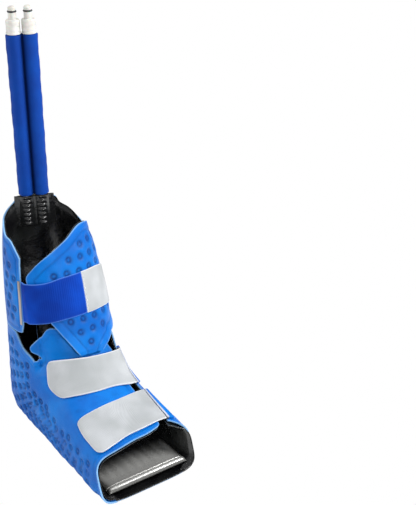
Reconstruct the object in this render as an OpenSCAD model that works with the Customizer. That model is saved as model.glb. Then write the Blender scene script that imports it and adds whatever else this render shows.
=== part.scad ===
// Cold compression wrap for the foot and ankle: a soft open-toed boot of welded
// bladder panels, closed by one elastic calf strap and two foot straps, fed by a
// twin insulated hose with two quick couplings.
// Frame: +Z up, toe towards -Y, origin on the underside of the sole below the ankle.

/* [Boot] */
// Height of the leg opening above the floor
leg_top = 300; // [270:1:340]
// Half width of the leg at the ankle
leg_half_w = 61; // [52:1:70]
// Reach of the back of the leg behind the origin
leg_back = 56; // [46:1:64]
// Reach of the shin in front of the origin, under the calf strap
leg_front = 72; // [64:1:82]
// Reach of the toe edge of the sole in front of the origin
toe_reach = 228; // [190:1:270]
// Half width of the foot at the toe edge
toe_half_w = 68; // [56:1:80]
// Height of the instep over the arch
instep_h = 93; // [84:1:104]
// Height of the toe opening
toe_h = 64; // [54:1:74]

/* [Layers] */
// Thickness of the coated fabric of each outer panel
fabric_t = 2; // [1.2:0.1:2.6]
// Thickness of each filled liner bladder
liner_t = 4.2; // [3:0.1:5]
// Gap between a panel and its liner, or between two laid layers
layer_gap = 0.3; // [0.2:0.05:0.5]
// Thickness of the flat sole panel
sole_t = 3; // [2:0.1:3.4]
// Thickness of the inner sole bladder above the side liners
pad_t = 5; // [4:0.5:7]
// Diameter of the rolled front edge of the sole bladder
roll_d = 8; // [7:0.5:10]

/* [Straps] */
// Thickness of the straps and of the hook tab
strap_t = 1.8; // [1:0.1:2.2]
// Height of a strap's underside over the panel that it lies on
strap_lift = 1.6; // [1.4:0.1:2.4]
// Thickness of the welded strips and trim tape
strip_t = 1.1; // [0.8:0.1:1.2]

/* [Hose] */
// Length of the foam sleeve
sleeve_len = 205; // [150:1:260]
// Diameter of each lobe of the sleeve
lobe_d = 19.6; // [17:0.2:22]
// Distance between the two tubes
tube_pitch = 18.6; // [17:0.2:20]
// Diameter of each tube
tube_d = 9.6; // [8:0.2:10.4]
// Turn of the hose about its own axis, away from the boot's width
hose_yaw = -22; // [-30:1:0]
// Width of the pouch that holds the two ports
pouch_w = 50; // [46:1:56]
// Thickness of the pouch
pouch_t = 15; // [14.4:0.2:17]
// Height of the pouch
pouch_h = 40; // [34:1:46]
// Gap between the pouch and the end of the sleeve
sleeve_gap = 2; // [1:0.5:4]

/* [Couplings] */
// Diameter of the coupling's collar
collar_d = 16.8; // [14:0.2:17.6]
// Height of the collar
collar_h = 15; // [12:0.5:18]
// Diameter of the coupling's nose
nose_d = 9.8; // [9:0.1:10.6]
// Height of the nose below the seal
nose_h = 8.5; // [7:0.5:11]
// Outer diameter of the seal ring
seal_d = 11.2; // [10.8:0.1:12]
// Thickness of the seal ring
seal_t = 2; // [1.6:0.1:2.4]
// Diameter of the valve stem
stem_d = 4.4; // [3.6:0.1:4.8]
// Running clearance round the valve stem
stem_fit = 0.06; // [0.03:0.01:0.09]
// Travel of the valve
valve_travel = 3; // [2:0.5:4]

/* [Hidden] */

azure = [0.08, 0.45, 0.88];
royal = [0, 0.22, 0.75];
film = [0.06, 0.06, 0.06];
pale_grey = [0.8, 0.81, 0.83];
beige = [0.68, 0.64, 0.6];
ivory = [0.94, 0.93, 0.9];
clear_grey = [0.5, 0.5, 0.5];
steel = [0.7, 0.7, 0.72];

// Underside of the curved panels above the floor, at the middle of the sole
base_z = 1.2;

// Height at a share of the leg, from the ankle's own height up to the opening
function leg_z(ankle_z, share) = ankle_z + (leg_top - ankle_z) * share;

// The stations of the boot, from the leg opening round the heel to the toe. Each is
// [rear or sole y, its z, front or instep y, its z, half width,
//  squareness of the rear or sole half, squareness of the front or instep half].
stations = [
    [leg_back - 6, leg_top, 42 - leg_front, leg_top, leg_half_w - 13, 2.1, 2.1],
    [leg_back - 1, leg_z(135, 105 / 165), 18 - leg_front, leg_z(145, 97 / 155), leg_half_w - 5, 2.2, 2.2],
    [leg_back, leg_z(135, 50 / 165), -leg_front, leg_z(145, 43 / 155), leg_half_w - 1, 2.3, 2.3],
    [leg_back, 135, -leg_front - 12, 145, leg_half_w, 2.4, 2.4],
    [leg_back - 1, 90, -leg_front - 20, instep_h + 31, leg_half_w, 2.6, 2.5],
    [leg_back - 2, 50, -leg_front - 26, instep_h + 19, leg_half_w + 1, 2.8, 2.6],
    [leg_back - 8, 22, -leg_front - 32, instep_h + 11, leg_half_w + 2, 3.2, 2.8],
    [leg_back - 26, 3, -leg_front - 38, instep_h + 5, leg_half_w + 1, 4, 3],
    [leg_back - 56, base_z, -leg_front - 45, instep_h - 1, leg_half_w, 5, 3.2],
    [leg_back - 101, base_z, -leg_front - 63, instep_h - 9, leg_half_w + 1, 5, 3.3],
    [58 - toe_reach * 0.75, base_z, 7 - toe_reach * 0.75, (instep_h + toe_h) / 2 - 4,
        (leg_half_w + toe_half_w) / 2, 5, 3.4],
    [-toe_reach, base_z, 20 - toe_reach, toe_h, toe_half_w, 5, 3.5],
    [-toe_reach - 15, base_z, 6 - toe_reach, toe_h - 6, toe_half_w - 2, 5, 3.5]
];

function station(k) = stations[max(0, min(len(stations) - 1, k))];

// Smooth blend of the stations at s, which counts them from 0 at the leg opening
function section(s) =
    let (
        k = min(floor(s), len(stations) - 2),
        t = s - k,
        a = station(k - 1),
        b = station(k),
        c = station(k + 1),
        d = station(k + 2)
    )
    0.5 * (2 * b + (c - a) * t + (2 * a - 5 * b + 4 * c - d) * t * t
        + (3 * b - a - 3 * c + d) * t * t * t);

function bent(x, power) = sign(x) * pow(abs(x), 2 / power);

// A point of the boot's skin: angle 0 is the back or sole, 90 is +X, 180 is the shin
// or instep. out is the height above the skin.
function skin(angle, s, out) =
    let (
        q = section(s),
        rear = [0, q[0], q[1]],
        front = [0, q[2], q[3]],
        half = norm(rear - front) / 2,
        power = cos(angle) > 0 ? q[5] : q[6]
    )
    (rear + front) / 2
    + (rear - front) / (2 * half) * (half + out) * bent(cos(angle), power)
    + [q[4] + out, 0, 0] * bent(sin(angle), power);

// A net is rows of [angle, s] corners. net_at blends them, steps to a cell each way.
function net_at(net, i, j, rows, cols) =
    let (
        r = min(floor(i / rows), len(net) - 2),
        c = min(floor(j / cols), len(net[0]) - 2),
        u = i / rows - r,
        v = j / cols - c
    )
    (net[r][c] * (1 - v) + net[r][c + 1] * v) * (1 - u)
    + (net[r + 1][c] * (1 - v) + net[r + 1][c + 1] * v) * u;

// A closed curved sheet between the heights low and high over the skin. holes lists
// the net cells [row, column] that are cut out. rise adds a height of its own.
module sheet(net, low, high, rows, cols, holes = [], rise = function(angle, s) 0) {
    ni = (len(net) - 1) * rows;
    nj = (len(net[0]) - 1) * cols;
    layer = (ni + 1) * (nj + 1);
    points = [
        for (out = [low, high])
            for (i = [0:ni])
                for (j = [0:nj])
                    let (p = net_at(net, i, j, rows, cols))
                    skin(p[0], p[1], out + rise(p[0], p[1]))
    ];
    function solid(i, j) =
        i >= 0 && j >= 0 && i < ni && j < nj
        && len([for (h = holes) if (h == [floor(i / rows), floor(j / cols)]) 1]) == 0;
    function at(i, j, k) = k * layer + i * (nj + 1) + j;
    function wall(a, b, c, d) = [[a, b, d], [a, d, c]];
    faces = [
        for (i = [0:ni - 1])
            for (j = [0:nj - 1])
                if (solid(i, j))
                    each concat(
                        wall(at(i, j, 1), at(i, j + 1, 1), at(i + 1, j, 1), at(i + 1, j + 1, 1)),
                        wall(at(i, j, 0), at(i + 1, j, 0), at(i, j + 1, 0), at(i + 1, j + 1, 0)),
                        solid(i - 1, j) ? []
                            : wall(at(i, j, 0), at(i, j + 1, 0), at(i, j, 1), at(i, j + 1, 1)),
                        solid(i + 1, j) ? []
                            : wall(at(i + 1, j + 1, 0), at(i + 1, j, 0),
                                at(i + 1, j + 1, 1), at(i + 1, j, 1)),
                        solid(i, j - 1) ? []
                            : wall(at(i + 1, j, 0), at(i, j, 0), at(i + 1, j, 1), at(i, j, 1)),
                        solid(i, j + 1) ? []
                            : wall(at(i, j + 1, 0), at(i + 1, j + 1, 0),
                                at(i, j + 1, 1), at(i + 1, j + 1, 1))
                    )
    ];
    polyhedron(points = points, faces = faces);
}

// Heights of the two layers of every panel
panel_low = -fabric_t;
liner_high = panel_low - layer_gap;
liner_low = liner_high - liner_t;

// Outlines, as nets over the skin
seam_angle = 24;
rear_gap = 0.01;
back_right = 92;
back_left = -63;
ankle_s = 2.985;
back_net = [
    [[back_left, 0.45], [-45, 0.38], [-27, 0.3], [-14, 0.2], [15, 0.2],
        [44, 0.3], [48, 0.5], [70, 0.6], [back_right, 0.75]],
    [for (a = [back_left, -45, -27, -14, 15, 44, 48, 70, back_right]) [a, 1.5]],
    [for (a = [back_left, -45, -27, -14, 15, 44, 48, 70, back_right]) [a, 2.2]],
    [for (a = [back_left, -45, -27, -14, 15, 44, 48, 70, back_right]) [a, ankle_s]]
];
back_liner_net = [
    [[back_left, 0.5], [-45, 0.6], [-27, 0.85], [-14, 0.95], [15, 0.95],
        [44, 0.95], [52, 0.8], [70, 0.65], [back_right, 0.75]],
    back_net[1],
    back_net[2],
    back_net[3]
];
flap_left = 296.1;
calf_flap_net = [
    [[flap_left, 0.45], [278, 0.64], [262, 0.7], [247, 0.95]],
    [[flap_left, 1.3], [278, 1.25], [262, 1.2], [249, 1.2]],
    [[flap_left, 2], [278, 2], [264, 2], [252, 1.9]],
    [[flap_left, 2.55], [278, 2.55], [266, 2.5], [255, 2.5]],
    [[flap_left, 2.92], [280, 2.92], [269, 2.9], [260, 2.86]]
];
shin_right = 93;
shin_net = [
    [[shin_right, 0.75], [125, 0.55], [155, 0.5], [184, 0.7], [214, 0.95], [235, 1.22]],
    [[shin_right, 1.4], [125, 1.4], [155, 1.4], [184, 1.4], [214, 1.4], [240, 1.44]],
    [[shin_right, 2], [122, 2], [150, 2], [178, 2], [205, 2], [228, 2]],
    [[shin_right, 2.5], [118, 2.5], [145, 2.45], [172, 2.4], [196, 2.4], [216, 2.36]],
    [[shin_right, 2.9], [120, 3.05], [144, 3.25], [170, 3], [192, 2.85], [205, 2.72]],
    [[shin_right, 3.2], [140, 3.4], [156, 3.65], [168, 3.55], [182, 3.4], [195, 3.2]],
    [[shin_right, 3.4], [150, 3.6], [165, 4.08], [172, 4.04], [180, 3.98], [188, 3.9]]
];
shin_holes = [[4, 0], [4, 1], [5, 0], [5, 1]];
left_net = [
    [[360 - rear_gap, 3], [312, 3], [271, 3.02], [240, 3], [216, 2.64], [150, 3.1]],
    [[360 - rear_gap, 3.5], [312, 3.5], [264, 3.52], [251, 3.42], [205, 3.2], [146, 3.8]],
    [[360 - rear_gap, 4.1], [310, 4.1], [249, 4.06], [241, 3.96], [195, 4], [144, 4.5]],
    [[360 - rear_gap, 5], [306, 5], [254, 5], [238, 5], [195, 5], [150, 5]],
    [[360 - rear_gap, 6], [304, 6], [256, 6], [238, 6], [195, 6], [152, 6]],
    [[360 - rear_gap, 7], [302, 7], [258, 7], [238, 7], [195, 7], [154, 7]],
    [[360 - seam_angle, 8], [302, 8], [260, 8], [238, 8], [195, 8], [156, 8]],
    [[360 - seam_angle, 9], [302, 9], [262, 9], [238, 9], [195, 9], [157, 9]],
    [[360 - seam_angle, 10], [302, 10], [264, 10], [238, 10], [195, 10], [159, 10]],
    [[360 - seam_angle, 11], [302, 11.02], [264, 11], [230, 11], [195, 11.06], [165, 10.8]]
];
left_holes = [[0, 2], [1, 2]];
right_net = [
    [[rear_gap, 3], [40, 3], [72, 3], [95, 3.04]],
    [[rear_gap, 3.6], [42, 3.6], [78, 3.6], [112, 3.7]],
    [[rear_gap, 4.2], [44, 4.2], [85, 4.2], [125, 4.3]],
    [[rear_gap, 5], [46, 5], [86, 5], [127, 5]],
    [[rear_gap, 6], [48, 6], [88, 6], [130, 6]],
    [[rear_gap, 7], [52, 7], [92, 7], [133, 7]],
    [[seam_angle, 8], [54, 8], [94, 8], [136, 8]],
    [[seam_angle, 9], [54, 9], [96, 9], [139, 9]],
    [[seam_angle, 10], [54, 10], [98, 10], [144, 10]],
    [[seam_angle, 11], [54, 11.02], [118, 11], [150, 10.75]]
];

// How the shin flap's tongue lifts off the skin, and how the instep sinks under it
flap_rise = function(angle, s) lookup(s, [[2.3, 0], [3.2, 3], [4.4, 4.5]]);
instep_sink = function(angle, s)
    angle > 249 ? 0 : min(1, (249 - angle) / 8) * lookup(s, [[3.6, -8.5], [4.3, -5], [5, 0]]);

// Panels and liners of the leg
module back_panel() {
    color(azure) sheet(back_net, panel_low, 0, 4, 3);
}

module back_liner() {
    color(film) sheet(back_liner_net, liner_low, liner_high, 4, 3);
}

module calf_flap_panel() {
    color(azure) sheet(calf_flap_net, panel_low, 0, 3, 3);
}

module calf_flap_liner() {
    color(film) sheet(calf_flap_net, liner_low, liner_high, 3, 3);
}

module shin_flap_panel() {
    color(azure) sheet(shin_net, panel_low, 0, 3, 4, shin_holes, flap_rise);
}

module shin_flap_liner() {
    color(film) sheet(shin_net, liner_low, liner_high, 3, 4, shin_holes, flap_rise);
}

// Panels and liners of the foot
module left_foot_panel() {
    color(azure) sheet(left_net, panel_low, 0, panel_rows, panel_cols, left_holes, instep_sink);
}

module left_foot_liner() {
    color(film) sheet(left_net, liner_low, liner_high, panel_rows, panel_cols, left_holes, instep_sink);
}

module right_foot_panel() {
    color(azure) sheet(right_net, panel_low, 0, panel_rows, panel_cols);
}

module right_foot_liner() {
    color(film) sheet(right_net, liner_low, liner_high, panel_rows, panel_cols);
}

// Outline of the sole from the right half's edge points, from heel to toe
module sole_outline(edge, inset) {
    right = [for (p = edge) [max(p[0] - inset, 0.5), p[1]]];
    left = [for (k = [len(right) - 1:-1:0]) [-right[k][0], right[k][1]]];
    polygon(concat(right, left));
}

// The right foot panel's lower edge under the sole, and a line higher up its corner
panel_rows = 3;
panel_cols = 5;
heel_row = 5;
lower_edge = [for (i = [heel_row * panel_rows:(len(right_net) - 1) * panel_rows])
    let (p = net_at(right_net, i, 0, panel_rows, panel_cols)) skin(p[0], p[1], 0)];
corner_angle = 35;
corner_edge = [for (s = [7.6, 7.8, 8, 8.5, 9, 10, 11])
    skin(corner_angle * min(1, (s - 7.5) / 0.5), s, 0)];

module sole_panel() {
    color(azure)
        linear_extrude(sole_t)
            offset(delta = -edge_gap)
                sole_outline(lower_edge, 0);
}

// The inner sole bladder: a core between the side liners, a pad over them and a
// rolled front edge
edge_gap = 1.5;
core_inset = 14;
pad_inset = 9;
core_low = sole_t + layer_gap;
pad_low = base_z + fabric_t + layer_gap + liner_t + 3.3;
pad_front = -toe_reach + 10;
core_back = leg_back - 62;
pad_back = leg_back - 52;

module between_ends(back) {
    intersection() {
        children();
        translate([-100, pad_front])
            square([200, back - pad_front]);
    }
}

module sole_bladder() {
    color(film)
        union() {
            translate([0, 0, core_low])
                linear_extrude(pad_low - core_low + 1)
                    between_ends(core_back) sole_outline(lower_edge, core_inset);
            translate([0, 0, pad_low])
                linear_extrude(pad_t)
                    between_ends(pad_back) sole_outline(corner_edge, pad_inset);
            translate([0, pad_front, pad_low + roll_d / 2])
                rotate([0, 90, 0])
                    cylinder(d = roll_d, h = 2 * (corner_edge[len(corner_edge) - 1][0] - pad_inset),
                        center = true, $fn = 32);
        }
}

// Straps
strap_high = strap_lift + strap_t;
calf_split = [[172, 1.31], [175, 2.28]];
elastic_net = [
    [[249.7, 1.47], [241.5, 1.46], [228, 1.44], [212, 1.4], [194, 1.33], calf_split[0]],
    [[254.5, 2.5], [243, 2.46], [230, 2.41], [214, 2.36], [196, 2.3], calf_split[1]]
];
hook_tab_net = [
    [calf_split[0], [148, 1.34], [124, 1.46]],
    [calf_split[1], [150, 2.32], [122, 2.45]]
];
ankle_net = [
    [[128, 4.9], [150, 4.75], [174, 4.5], [190, 4.25], [210, 4.18], [229, 4.2]],
    [[135, 7], [156, 6.8], [178, 6.6], [194, 6.3], [212, 6.1], [232, 6.1]],
    [[142, 8.8], [160, 8.75], [178, 8.5], [194, 8.3], [210, 8.1], [226, 7.9]]
];
toe_net = [
    [[142, 9.32], [160, 9.32], [178, 9.36], [196, 9.44], [210, 9.5], [224, 9.6]],
    [[146, 10], [162, 10], [180, 10.1], [198, 10.2], [212, 10.2], [228, 10.2]],
    [[151, 10.7], [166, 10.72], [180, 10.78], [196, 10.9], [212, 10.92], [225, 10.8]]
];

// How the elastic dips at its sewn end, to meet the calf flap edge to edge
elastic_rise = function(angle, s) lookup(angle, [[242, 0], [249, -strap_high]]);

module calf_elastic() {
    color(royal) sheet(elastic_net, strap_lift, strap_high, 6, 3, [], elastic_rise);
}

module calf_hook_tab() {
    color(pale_grey) sheet(hook_tab_net, strap_lift, strap_high, 6, 4);
}

module ankle_strap() {
    color(pale_grey) sheet(ankle_net, strap_lift, strap_high, 6, 3);
}

module toe_strap() {
    color(pale_grey) sheet(toe_net, strap_lift, strap_high, 3, 3);
}

// Welded strips beside the straps and trim tape on the calf flap's free edge
strip_low = layer_gap;
strip_w = 6;
strip_gap = 1;
function strip_net(net) = [for (row = net)
    [[row[0][0] - strip_w, row[0][1]], [row[0][0] - strip_gap, row[0][1]]]];

module ankle_strap_anchor() {
    color(pale_grey) sheet(strip_net(ankle_net), strip_low, strip_low + strip_t, 6, 1);
}

module toe_strap_anchor() {
    color(pale_grey) sheet(strip_net(toe_net), strip_low, strip_low + strip_t, 3, 1);
}

module calf_flap_trim() {
    color(beige)
        sheet([[[254, 1.46], [250.6, 1.46]], [[256, 2], [252.8, 2]], [[259, 2.6], [256.2, 2.6]]],
            strip_low, strip_low + strip_t, 3, 1);
}

// Hose. Its frame stands on the pouch, with the two tubes at +-tube_pitch / 2 along X.
hose_x = 2.5;
hose_y = leg_back - 22;
pouch_top = leg_top - 3;
port_l = 30;
sleeve_z = sleeve_gap;
cord_points = [for (z = [0:20:sleeve_len]) [0, 0, z], [0, 0, sleeve_len + sleeve_gap]];

module hose_frame() {
    translate([hose_x, hose_y, pouch_top])
        rotate([0, 0, hose_yaw])
            children();
}

module at_tube(side) {
    hose_frame()
        translate([side * tube_pitch / 2, 0, 0])
            children();
}

// Pouch of film round the two ports
port_barb_d = 11.6;
module port_pouch() {
    color(film)
        hose_frame()
            translate([0, 0, -pouch_h])
                linear_extrude(pouch_h)
                    difference() {
                        union() {
                            square([pouch_w - pouch_t, pouch_t - 5], center = true);
                            for (side = [-1, 1]) {
                                translate([side * (pouch_w / 2 - (pouch_t - 5) / 2), 0])
                                    circle(d = pouch_t - 5, $fn = 48);
                                translate([side * tube_pitch / 2, 0])
                                    circle(d = pouch_t, $fn = 48);
                            }
                        }
                        for (side = [-1, 1])
                            translate([side * tube_pitch / 2, 0])
                                circle(d = port_barb_d + 2 * layer_gap, $fn = 48);
                    }
}

// Barbed port, standing down from its mouth at the pouch's top
module port() {
    bore_d = 5;
    first_barb = 5;
    barb_pitch = 6;
    ring_h = 2.4;
    rotate_extrude($fn = 48)
        union() {
            translate([bore_d / 2, -port_l])
                square([tube_d / 2 - bore_d / 2, port_l]);
            for (k = [0:3])
                translate([bore_d / 2, -first_barb - ring_h - k * barb_pitch])
                    polygon([[0, 0], [port_barb_d / 2 - bore_d / 2, 0],
                        [tube_d / 2 - bore_d / 2, ring_h], [0, ring_h]]);
        }
}

module supply_port() {
    color(clear_grey) at_tube(-1) port();
}

module return_port() {
    color(clear_grey) at_tube(1) port();
}

// Tube swept along the cord's points
tube_sides = 10;
module tube() {
    points = [for (p = cord_points) for (k = [0:tube_sides - 1])
        p + tube_d / 2 * [cos(360 * k / tube_sides), sin(360 * k / tube_sides), 0]];
    rings = len(cord_points);
    function at(i, k) = i * tube_sides + k % tube_sides;
    faces = concat(
        [[for (k = [0:tube_sides - 1]) k]],
        [[for (k = [tube_sides - 1:-1:0]) (rings - 1) * tube_sides + k]],
        [for (i = [0:rings - 2]) for (k = [0:tube_sides - 1])
            [at(i, k), at(i + 1, k), at(i + 1, k + 1), at(i, k + 1)]]
    );
    polyhedron(points = points, faces = faces);
}

module supply_tube() {
    color(clear_grey) at_tube(-1) tube();
}

module return_tube() {
    color(clear_grey) at_tube(1) tube();
}

module hose_sleeve() {
    color(royal)
        hose_frame()
            translate([0, 0, sleeve_z])
                linear_extrude(sleeve_len)
                    difference() {
                        for (side = [-1, 1])
                            translate([side * tube_pitch / 2, 0])
                                circle(d = lobe_d, $fn = 64);
                        for (side = [-1, 1])
                            translate([side * tube_pitch / 2, 0])
                                circle(d = tube_d + 2 * layer_gap, $fn = 48);
                    }
}

// Quick coupling, standing on the end of the tube and of the sleeve
seat_z = sleeve_z + sleeve_len;
flange_t = 2;
ledge_t = 1;
inlet_d = 3;
chamber_d = 7;
chamber_h = 14;
tip_h = 5;
seal_z = flange_t + collar_h + nose_h;
groove_d = seal_d - 2 * seal_t;
tip_d = seal_d - seal_t;
nose_top = seal_z + seal_t + tip_h;

module coupling() {
    rotate_extrude($fn = 64)
        difference() {
            union() {
                square([collar_d / 2 + 0.5, flange_t]);
                translate([0, flange_t])
                    square([collar_d / 2, collar_h]);
                translate([0, flange_t + collar_h])
                    square([nose_d / 2, nose_h]);
                translate([0, seal_z])
                    square([groove_d / 2, seal_t]);
                translate([0, seal_z + seal_t])
                    polygon([[0, 0], [tip_d / 2, 0], [tip_d / 2, tip_h - 1.5],
                        [tip_d / 2 - 1.5, tip_h], [0, tip_h]]);
            }
            translate([0, -1])
                square([inlet_d / 2, ledge_t + 2]);
            translate([0, ledge_t])
                square([chamber_d / 2, chamber_h]);
            translate([0, chamber_h])
                square([stem_d / 2 + stem_fit, nose_top]);
        }
}

module supply_coupling() {
    color(ivory) at_tube(-1) translate([0, 0, seat_z]) coupling();
}

module return_coupling() {
    color(ivory) at_tube(1) translate([0, 0, seat_z]) coupling();
}

module seal() {
    rotate_extrude($fn = 64)
        translate([groove_d / 2, 0])
            square([(seal_d - groove_d) / 2, seal_t]);
}

module supply_seal() {
    color(film) at_tube(-1) translate([0, 0, seat_z + seal_z]) seal();
}

module return_seal() {
    color(film) at_tube(1) translate([0, 0, seat_z + seal_z]) seal();
}

// Valve stem with its spring plate, which stops against the chamber's roof
plate_d = 6.4;
plate_t = 1.6;
plate_z = ledge_t + chamber_h - plate_t - 0.1;
module valve() {
    rotate_extrude($fn = 48)
        union() {
            translate([0, plate_z])
                square([plate_d / 2, plate_t]);
            translate([0, plate_z])
                square([stem_d / 2, nose_top - plate_z + 0.4]);
        }
}

module supply_valve() {
    color(ivory) at_tube(-1) translate([0, 0, seat_z]) valve();
}

module return_valve() {
    color(ivory) at_tube(1) translate([0, 0, seat_z]) valve();
}

// Coil spring between the chamber's floor and the valve's plate
wire_d = 0.7;
coil_d = 5;
coil_turns = 5;
spring_low = ledge_t + wire_d / 2 + 0.1;
spring_high = plate_z - wire_d / 2 - 0.1;
module spring() {
    steps = 12;
    sides = 6;
    rings = coil_turns * steps;
    points = [for (i = [0:rings]) for (k = [0:sides - 1])
        let (
            turn = 360 * i / steps,
            r = coil_d / 2 + wire_d / 2 * cos(360 * k / sides),
            z = spring_low + (spring_high - spring_low) * i / rings
                + wire_d / 2 * sin(360 * k / sides)
        )
        [r * cos(turn), r * sin(turn), z]];
    function at(i, k) = i * sides + k % sides;
    faces = concat(
        [[for (k = [sides - 1:-1:0]) k]],
        [[for (k = [0:sides - 1]) rings * sides + k]],
        [for (i = [0:rings - 1]) for (k = [0:sides - 1]) each
            [[at(i, k), at(i, k + 1), at(i + 1, k + 1)], [at(i, k), at(i + 1, k + 1), at(i + 1, k)]]]
    );
    polyhedron(points = points, faces = faces);
}

module supply_spring() {
    color(steel) at_tube(-1) translate([0, 0, seat_z]) spring();
}

module return_spring() {
    color(steel) at_tube(1) translate([0, 0, seat_z]) spring();
}

back_panel();
back_liner();
calf_flap_panel();
calf_flap_liner();
calf_flap_trim();
shin_flap_panel();
shin_flap_liner();
left_foot_panel();
left_foot_liner();
right_foot_panel();
right_foot_liner();
sole_panel();
sole_bladder();
calf_elastic();
calf_hook_tab();
ankle_strap();
toe_strap();
ankle_strap_anchor();
toe_strap_anchor();
port_pouch();
supply_port();
return_port();
supply_tube();
return_tube();
hose_sleeve();
supply_coupling();
return_coupling();
supply_seal();
return_seal();
supply_valve();
return_valve();
supply_spring();
return_spring();
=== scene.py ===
import math

import bmesh
import bpy
import numpy as np
from mathutils import Matrix, Vector
from mathutils.kdtree import KDTree


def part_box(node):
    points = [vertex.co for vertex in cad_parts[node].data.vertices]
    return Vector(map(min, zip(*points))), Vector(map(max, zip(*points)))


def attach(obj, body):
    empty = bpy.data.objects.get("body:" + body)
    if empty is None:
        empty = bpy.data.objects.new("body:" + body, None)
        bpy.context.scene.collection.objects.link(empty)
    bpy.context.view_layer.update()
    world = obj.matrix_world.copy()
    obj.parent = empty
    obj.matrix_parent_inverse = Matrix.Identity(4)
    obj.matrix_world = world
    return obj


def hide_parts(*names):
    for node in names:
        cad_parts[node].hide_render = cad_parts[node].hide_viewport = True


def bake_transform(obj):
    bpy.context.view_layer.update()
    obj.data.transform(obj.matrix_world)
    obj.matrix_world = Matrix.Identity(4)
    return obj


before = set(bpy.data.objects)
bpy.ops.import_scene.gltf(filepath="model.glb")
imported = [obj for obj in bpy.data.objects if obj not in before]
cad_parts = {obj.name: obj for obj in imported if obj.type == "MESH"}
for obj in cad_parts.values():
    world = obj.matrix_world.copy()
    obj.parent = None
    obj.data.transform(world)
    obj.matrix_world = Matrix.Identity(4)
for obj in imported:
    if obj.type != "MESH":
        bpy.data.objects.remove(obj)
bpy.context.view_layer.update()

MM = 0.001
# Spacing of the mesh points on the soft panels
STEP = 1.9 * MM


# ---------------------------------------------------------------- materials
class Sock:
    """A node socket with arithmetic, so that shader maths reads as a formula."""

    def __init__(self, mat, socket):
        self.mat = mat
        self.socket = socket

    def maths(self, operation, *values):
        return self.mat.node("ShaderNodeMath", {"operation": operation}, *values)

    def __add__(self, other):
        return self.maths("ADD", self, other)

    def __rsub__(self, other):
        return self.maths("SUBTRACT", other, self)

    def __mul__(self, other):
        return self.maths("MULTIPLY", self, other)

    def sin(self):
        return self.maths("SINE", self)

    def clamp(self, low, high):
        """0 below low and 1 above high, with a smooth step between."""
        return self.mat.node(
            "ShaderNodeMapRange", {"interpolation_type": "SMOOTHSTEP"}, self, low, high
        )


class Mat:
    """A procedural material on one Principled shader."""

    def __init__(self, name, **constants):
        self.data = bpy.data.materials.new(name)
        self.data.use_nodes = True
        self.tree = self.data.node_tree
        self.shader = self.tree.nodes["Principled BSDF"]
        for key, value in constants.items():
            self.shader.inputs[key.replace("_", " ")].default_value = value

    def set(self, socket, value):
        if isinstance(value, Sock):
            self.tree.links.new(value.socket, socket)
        else:
            socket.default_value = value

    def node(self, kind, settings, *values, out=0, **named):
        made = self.tree.nodes.new(kind)
        for key, value in settings.items():
            setattr(made, key, value)
        for socket, value in zip(made.inputs, values):
            self.set(socket, value)
        for key, value in named.items():
            self.set(made.inputs[key.replace("_", " ")], value)
        return Sock(self, made.outputs[out])

    def place(self):
        return self.node("ShaderNodeTexCoord", {}, out=3)

    def split(self, vector, *parts):
        """Parts of a vector as single values: 0 is x, 1 is y and 2 is z."""
        return [self.node("ShaderNodeSeparateXYZ", {}, vector, out=part) for part in parts]

    def cloth(self):
        """The piece's own flat coordinates in metres: x across, y along."""
        return self.split(self.node("ShaderNodeUVMap", {"uv_map": "cloth"}), 0, 1)

    def attribute(self, name):
        return self.node("ShaderNodeAttribute", {"attribute_name": name}, out=2)

    def noise(self, scale, detail=3.0, roughness=0.55):
        return self.node(
            "ShaderNodeTexNoise", {}, Vector=self.place(), Scale=scale, Detail=detail, Roughness=roughness
        )

    def mix(self, share, first, second):
        """Colours blended by share."""
        made = self.tree.nodes.new("ShaderNodeMix")
        made.data_type = "RGBA"
        self.set(made.inputs[0], share)
        self.set(made.inputs[6], first)
        self.set(made.inputs[7], second)
        return Sock(self, made.outputs[2])

    def finish(self, colour, roughness, height, depth, coat=0.0):
        """The finished material, with height as a bump that is depth metres high."""
        self.set(self.shader.inputs["Base Color"], colour)
        self.set(self.shader.inputs["Roughness"], roughness)
        self.set(self.shader.inputs["Coat Weight"], coat)
        bump = self.node("ShaderNodeBump", {}, Height=height, Distance=depth)
        self.set(self.shader.inputs["Normal"], bump)
        return self.data


def rgb(red, green, blue):
    return (red, green, blue, 1.0)


def fabric(name, deep, mid, bright, rough=0.5):
    """Coated cloth: a fine weave under a satin film, with a painted sheen where its broad bump swells and
    painted shade in its dimples and weld lines.
    """
    m = Mat(name, Specular_IOR_Level=0.16)
    x, y = m.cloth()
    weave = (x * 6900.0).sin() * (y * 6900.0).sin()
    broad = m.noise(16.0, 3.0)
    patch = m.noise(85.0, 4.0)
    # Painted sheen: paler where the broad bump swells, from the same noise as the bump
    tone = m.mix(broad.clamp(0.35, 0.68), mid, bright)
    # Painted shade: darker in the dimples and along the weld lines
    tone = m.mix(m.attribute("hollow_shade") * 0.8, tone, deep)
    tone = m.mix(patch.clamp(0.55, 0.8) * 0.22, tone, deep)
    tone = m.mix(m.attribute("rim") * 0.6, tone, rgb(0.26, 0.50, 0.80))
    return m.finish(
        tone,
        patch * 0.16 + (rough - 0.08),
        weave * 0.10 + patch * 0.9 + broad * 2.0,
        0.00022,
    )


def webbing(name, low, high, ribs, rough=0.7, depth=0.00014, edge=None):
    """Woven tape with ribs across it, a selvedge along it and fine fuzz."""
    m = Mat(name, Specular_IOR_Level=0.12)
    x, y = m.cloth()
    weave = (x * ribs).sin() * 0.7 + (y * ribs * 1.7).sin() * 0.3
    fuzz = m.noise(900.0, 2.0)
    soft = m.noise(22.0, 2.0)
    tone = m.mix(soft.clamp(0.3, 0.7), low, high)
    tone = m.mix(fuzz.clamp(0.45, 0.75) * 0.22 + weave.clamp(0.0, 1.0) * 0.15, tone, low)
    if edge:
        tone = m.mix(m.attribute("rim"), tone, edge)
    return m.finish(tone, fuzz * 0.15 + (rough - 0.07), weave * 0.6 + fuzz, depth)


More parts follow.
